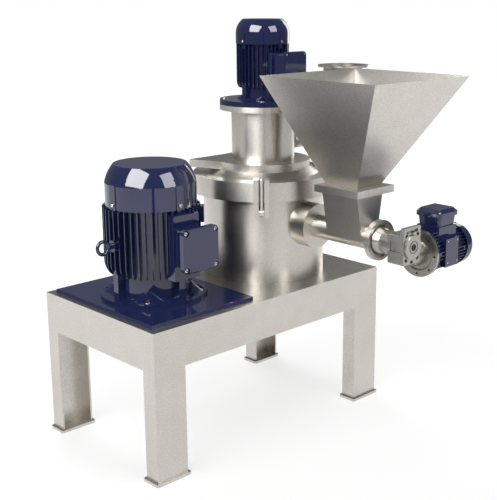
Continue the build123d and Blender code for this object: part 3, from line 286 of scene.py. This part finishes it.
# Terminal lids: the pocket's radius is a share of the lid's width, its inset and the screw's radius
# count in pocket radii, and its floor and the screw's height are shares of the lid's thickness
POCKET_RADIUS = 0.065
POCKET_INSET = 1.3
POCKET_FLOOR = 0.45
LID_SCREW_RADIUS = 0.72
LID_SCREW_HEIGHT = 0.3


def add_screw(mesh, seat, axis, radius, height):
    """A socket head screw that stands on its seat."""
    turn = Vector((0, 0, 1)).rotation_difference(Vector(axis)).to_matrix()
    bevel = radius * SCREW_BEVEL
    socket = radius * SOCKET_RADIUS
    rings = [
        (radius, 0, False), (radius, height - bevel, False), (radius - bevel, height, False),
        (socket, height, True), (socket, height * SOCKET_FLOOR, True),
    ]
    below = None
    for size, level, hexagon in rings:
        ring = []
        for step in range(SCREW_SIDES):
            angle = 2 * math.pi * step / SCREW_SIDES
            reach = size
            if hexagon:
                reach = size * math.cos(math.pi / 6) / math.cos(angle % (math.pi / 3) - math.pi / 6)
            point = Vector((reach * math.cos(angle), reach * math.sin(angle), level))
            ring.append(mesh.verts.new(Vector(seat) + turn @ point))
        if below is None:
            mesh.faces.new(reversed(ring))
        else:
            for step in range(SCREW_SIDES):
                after = (step + 1) % SCREW_SIDES
                mesh.faces.new((below[step], below[after], ring[after], ring[step]))
        below = ring
    mesh.faces.new(below)


def screws(name, seats, axes, radius, height, material):
    """A set of like screws on the standing machine, each with its own seat and axis."""
    shape = bmesh.new()
    for seat, axis in zip(seats, axes):
        add_screw(shape, seat, axis, radius, height)
    piece = add_object(name, mesh_of(name, shape), material)
    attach(piece, "stand")


def lid_screws(lid_node, out_axis, side):
    """Four screws in the corner pockets of a terminal lid. side is 1 or -1, its way along the axis."""
    low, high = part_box(lid_node)
    size = high - low
    across = [axis for axis in range(3) if axis != out_axis]
    pocket = size[across[0]] * POCKET_RADIUS
    inner = low[out_axis] if side > 0 else high[out_axis]
    out = Vector((0, 0, 0))
    out[out_axis] = side
    seats = []
    for first in (-1, 1):
        for second in (-1, 1):
            seat = (low + high) / 2
            seat[across[0]] += first * (size[across[0]] / 2 - POCKET_INSET * pocket)
            seat[across[1]] += second * (size[across[1]] / 2 - POCKET_INSET * pocket)
            seat[out_axis] = inner + side * POCKET_FLOOR * size[out_axis]
            seats.append(seat)
    name = lid_node.replace("terminal_lid", "lid_screws")
    radius = pocket * LID_SCREW_RADIUS
    height = size[out_axis] * LID_SCREW_HEIGHT
    screws(name, seats, [out] * len(seats), radius, height, zinc)


def cowl_screws(cowl_node, axis, rise, radius):
    """A screw on each of a fan cowl's four pads. axis is the motor's; rise is from the skirt's edge."""
    low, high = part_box(cowl_node)
    middle = (low + high) / 2
    across = [number for number in range(3) if number != axis]
    seats = []
    outs = []
    for number in across:
        for side in (-1, 1):
            out = Vector((0, 0, 0))
            out[number] = side
            seat = middle.copy()
            seat[number] = high[number] if side > 0 else low[number]
            seat[axis] = low[axis] + rise
            seats.append(seat)
            outs.append(out)
    name = cowl_node.replace("cowl", "cowl_screws")
    screws(name, seats, outs, radius, radius * COWL_SCREW_HEIGHT, zinc)


def seal_ring(name, centre, inner, outer, height):
    """A flat rubber ring on a face that looks along -Y."""
    shape = bmesh.new()
    sections = []
    for step in range(2 * SCREW_SIDES):
        angle = math.pi * step / SCREW_SIDES
        way = Vector((math.cos(angle), 0, math.sin(angle)))
        lift = Vector((0, -height, 0))
        corners = [centre + way * inner, centre + way * outer]
        corners += [corners[1] + lift, corners[0] + lift]
        sections.append([shape.verts.new(corner) for corner in corners])
    for number, section in enumerate(sections):
        after = sections[(number + 1) % len(sections)]
        for corner in range(4):
            next_corner = (corner + 1) % 4
            shape.faces.new(
                (section[corner], after[corner], after[next_corner], section[next_corner])
            )
    piece = add_object(name, mesh_of(name, shape), rubber)
    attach(piece, "stand")


AXIS_Y, AXIS_Z = 1, 2
lid_screws("main_motor_terminal_lid", AXIS_Y, -1)
lid_screws("classifier_motor_terminal_lid", AXIS_Y, -1)
lid_screws("gearmotor_terminal_lid", AXIS_Z, 1)
cowl_screws("main_motor_cowl", AXIS_Z, rise=17 * MM, radius=7 * MM)
cowl_screws("classifier_motor_cowl", AXIS_Z, rise=10 * MM, radius=5 * MM)

# Gearbox cover: a plug over the shaft's end and a seal round it
cover_low, cover_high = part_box("gearbox_cover")
cover_middle = (cover_low + cover_high) / 2
cover_face = Vector((cover_middle.x, cover_low.y, cover_middle.z))
CAP_RADIUS, CAP_HEIGHT = 12 * MM, 2.5 * MM
screws("gearbox_end_cap", [cover_face], [(0, -1, 0)], CAP_RADIUS, CAP_HEIGHT, plastic)
seal_ring("gearbox_seal_ring", cover_face, inner=20.5 * MM, outer=22.5 * MM, height=0.8 * MM)

# Gearmotor: four screws in the corners of its side plate, measured along from the mill's axis, and out,
# up and down from the motor's
cowl_low, cowl_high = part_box("gearmotor_cowl")
motor_middle = (cowl_low + cowl_high) / 2
PLATE_NEAR, PLATE_FAR = 176 * MM, 232.5 * MM
PLATE_TOP, PLATE_BOTTOM = 42 * MM, -37 * MM
PLATE_FACE = 78 * MM
PLATE_SCREW_RADIUS, PLATE_SCREW_HEIGHT = 3 * MM, 1.8 * MM
plate_seats = [
    (mill_axis.x + along, motor_middle.y - PLATE_FACE, motor_middle.z + level)
    for along in (PLATE_NEAR, PLATE_FAR) for level in (PLATE_TOP, PLATE_BOTTOM)
]
screws(
    "gearmotor_plate_screws", plate_seats, [(0, -1, 0)] * len(plate_seats),
    PLATE_SCREW_RADIUS, PLATE_SCREW_HEIGHT, zinc,
)

# Camera, solved from the photo's straight edges and round flanges, with its centre in photo pixels
CAMERA_PLACE = Vector((-2.46465, -2.4913, 1.6217))
CAMERA_YAW = math.radians(45)
CAMERA_PITCH = math.radians(13.615)
FOCAL_PIXELS = 952.07
PHOTO_WIDTH, PHOTO_HEIGHT = 497, 500
CENTRE_X, CENTRE_Y = 286.77, 227.74
SENSOR_MM = 36.0

camera_data = bpy.data.cameras.new("camera")
camera = bpy.data.objects.new("camera", camera_data)
bpy.context.scene.collection.objects.link(camera)
camera.location = CAMERA_PLACE
camera.rotation_euler = (math.pi / 2 - CAMERA_PITCH, 0, CAMERA_YAW - math.pi / 2)
camera_data.sensor_width = SENSOR_MM
camera_data.lens = FOCAL_PIXELS * SENSOR_MM / PHOTO_HEIGHT
camera_data.shift_x = (PHOTO_WIDTH / 2 - CENTRE_X) / PHOTO_HEIGHT
camera_data.shift_y = (CENTRE_Y - PHOTO_HEIGHT / 2) / PHOTO_HEIGHT
bpy.context.scene.camera = camera


# Studio, in metres and degrees. The paper's glow grows from LIFT_UNDER to LIFT_AWAY, between the
# distances LIFT_NEAR and LIFT_FAR from the machine's middle; the weaker glow near the machine is a painted
# shade round it
FLOOR_REACH = 14.0
WALL_RADIUS = 9.0
ROOM_LEVEL = 0.18
CAMERA_BEARING = 225
LAMP_AIM = Vector((0, 0, 0.75))
LAMP_DISTANCE = 4.5
LIFT_NEAR, LIFT_FAR = 1.2, 4.0
LIFT_UNDER, LIFT_AWAY = 0.74, 1.0
WHITE = (1, 1, 1, 1)


def shows_backdrop(tree):
    """One for the camera and for what metal and glass show, zero for matt surfaces."""
    path = add(tree, "ShaderNodeLightPath").outputs
    seen = path["Is Camera Ray"]
    for kind in ("Is Glossy Ray", "Is Transmission Ray"):
        either = add(tree, "ShaderNodeMath", {0: seen, 1: path[kind]}, operation="MAXIMUM")
        seen = either.outputs["Value"]
    return seen


def paper_floor():
    """Seamless white paper, lifted by a glow where it shows so that only soft shadows are left on it. The
    glow is weaker near the machine, which paints a shade on the paper round it.
    """
    material, tree, output, place = new_material("white_paper")
    tone, _ = grain(tree, place, size_mm=400, low=0.99, high=1.0)
    white = add(tree, "ShaderNodeVectorMath", {0: linear("c8c6c3"), "Scale": tone}, operation="SCALE")
    grey = add(tree, "ShaderNodeVectorMath", {0: linear("898989"), "Scale": tone}, operation="SCALE")
    paper = add(tree, "ShaderNodeBsdfDiffuse", {"Color": white.outputs["Vector"]})
    shaded = add(tree, "ShaderNodeBsdfDiffuse", {"Color": grey.outputs["Vector"]})
    away = add(tree, "ShaderNodeVectorMath", {0: place}, operation="LENGTH").outputs["Value"]
    # Painted shade: the glow is weaker near the machine, so the paper round it is darker under any lamp
    glow = add(
        tree, "ShaderNodeMapRange",
        {
            "Value": away,
            "From Min": LIFT_NEAR,
            "From Max": LIFT_FAR,
            "To Min": LIFT_UNDER,
            "To Max": LIFT_AWAY,
        },
    )
    lift = add(tree, "ShaderNodeEmission", {"Color": WHITE, "Strength": glow.outputs["Result"]})
    seen = add(tree, "ShaderNodeAddShader", {0: shaded.outputs["BSDF"], 1: lift.outputs["Emission"]})
    mix = add(
        tree, "ShaderNodeMixShader",
        {0: shows_backdrop(tree), 1: paper.outputs["BSDF"], 2: seen.outputs["Shader"]},
    )
    tree.links.new(mix.outputs["Shader"], output.inputs["Surface"])
    return material


def sheet(name, corners, material):
    """A flat piece of the studio with four corners."""
    mesh = bpy.data.meshes.new(name)
    mesh.from_pydata(corners, [], [(0, 1, 2, 3)])
    made = add_object(name, mesh, material)
    return made


def make_floor():
    """The paper floor under the machine."""
    reach = FLOOR_REACH
    corners = [(-reach, -reach, 0), (reach, -reach, 0), (reach, reach, 0), (-reach, reach, 0)]
    sheet("floor", corners, paper_floor())


def make_world():
    """White behind the machine, and a dim grey fill light on matt surfaces.

    The white is there for reflections too, but the studio walls stand in front of it and hide it.
    """
    world = bpy.data.worlds.new("white_surround")
    bpy.context.scene.world = world
    world.use_nodes = True
    tree = world.node_tree
    tree.nodes.clear()
    room = add(tree, "ShaderNodeBackground", {"Color": WHITE, "Strength": ROOM_LEVEL})
    backdrop = add(tree, "ShaderNodeBackground", {"Color": WHITE, "Strength": 1.0})
    mix = add(
        tree, "ShaderNodeMixShader",
        {0: shows_backdrop(tree), 1: room.outputs["Background"], 2: backdrop.outputs["Background"]},
    )
    output = add(tree, "ShaderNodeOutputWorld")
    tree.links.new(mix.outputs["Shader"], output.inputs["Surface"])


def area_lamp(name, turn, rise, width, height, glow):
    """An area lamp that looks at the machine. turn counts from behind the camera, right positive.

    glow is the brightness of its face, where 1 shows as white.
    """
    bearing = math.radians(CAMERA_BEARING + turn)
    rise = math.radians(rise)
    out = Vector((math.cos(bearing) * math.cos(rise), math.sin(bearing) * math.cos(rise), math.sin(rise)))
    lamp = bpy.data.lights.new(name, "AREA")
    lamp.shape = "RECTANGLE"
    lamp.size = width
    lamp.size_y = height
    lamp.energy = glow * math.pi * width * height
    box = bpy.data.objects.new(name, lamp)
    box.location = LAMP_AIM + out * LAMP_DISTANCE
    box.rotation_euler = (-out).to_track_quat("-Z", "Y").to_euler()
    bpy.context.scene.collection.objects.link(box)
    return box


def soft_box(name, turn, rise, width, height, mirrored, spread):
    """A window of two lamps in one place: what gloss mirrors, and what falls on matt surfaces.

    The two differ in strength, which one real window wouldn't.
    """
    area_lamp(name + "_mirrored", turn, rise, width, height, mirrored).visible_diffuse = False
    area_lamp(name + "_spread", turn, rise, width, height, spread).visible_glossy = False


def only_in_reflections(thing):
    """Hide a piece of the studio from the camera and from the light on matt surfaces."""
    thing.visible_camera = False
    thing.visible_diffuse = False
    thing.visible_shadow = False


def studio_walls():
    """A sphere that glows an even dim grey, in place of the studio's walls and ceiling.

    Only reflections and what glass lets through show it. There it hides the world's white, so metal shows
    the white floor and a dim room. It was added for the photo's dim reflections, and without it metal would
    show white all round.
    """
    material, tree, output, _ = new_material("dim_studio_walls")
    glow = add(tree, "ShaderNodeEmission", {"Color": WHITE, "Strength": ROOM_LEVEL})
    tree.links.new(glow.outputs["Emission"], output.inputs["Surface"])
    shape = bmesh.new()
    bmesh.ops.create_uvsphere(shape, u_segments=32, v_segments=16, radius=WALL_RADIUS)
    walls = add_object("studio_walls", mesh_of("studio_walls", shape), material)
    only_in_reflections(walls)


def dark_card(name, turn, distance, width, height):
    """A matt black card that stands upright, seen only in reflections."""
    bearing = math.radians(CAMERA_BEARING + turn)
    centre = Vector((math.cos(bearing), math.sin(bearing), 0)) * distance
    side = Vector((-math.sin(bearing), math.cos(bearing), 0)) * width / 2
    top = Vector((0, 0, height))
    corners = [centre - side, centre + side, centre + side + top, centre - side + top]
    only_in_reflections(sheet(name, corners, rubber))


make_floor()
make_world()
studio_walls()
soft_box("left_soft_box", turn=-38, rise=39, width=3.4, height=3.2, mirrored=12.0, spread=6.0)
soft_box("right_soft_box", turn=53, rise=36, width=2.4, height=2.7, mirrored=7.0, spread=6.5)
soft_box("rear_soft_box", turn=150, rise=16, width=1.8, height=3.0, mirrored=3.0, spread=4.0)
back_fill = area_lamp("back_fill_lamp", turn=-155, rise=42, width=2.8, height=2.8, glow=6.0)
back_fill.visible_glossy = False
dark_card("card_behind_the_camera", turn=4, distance=3.0, width=0.3, height=2.2)
bpy.context.scene.view_settings.view_transform = "Standard"
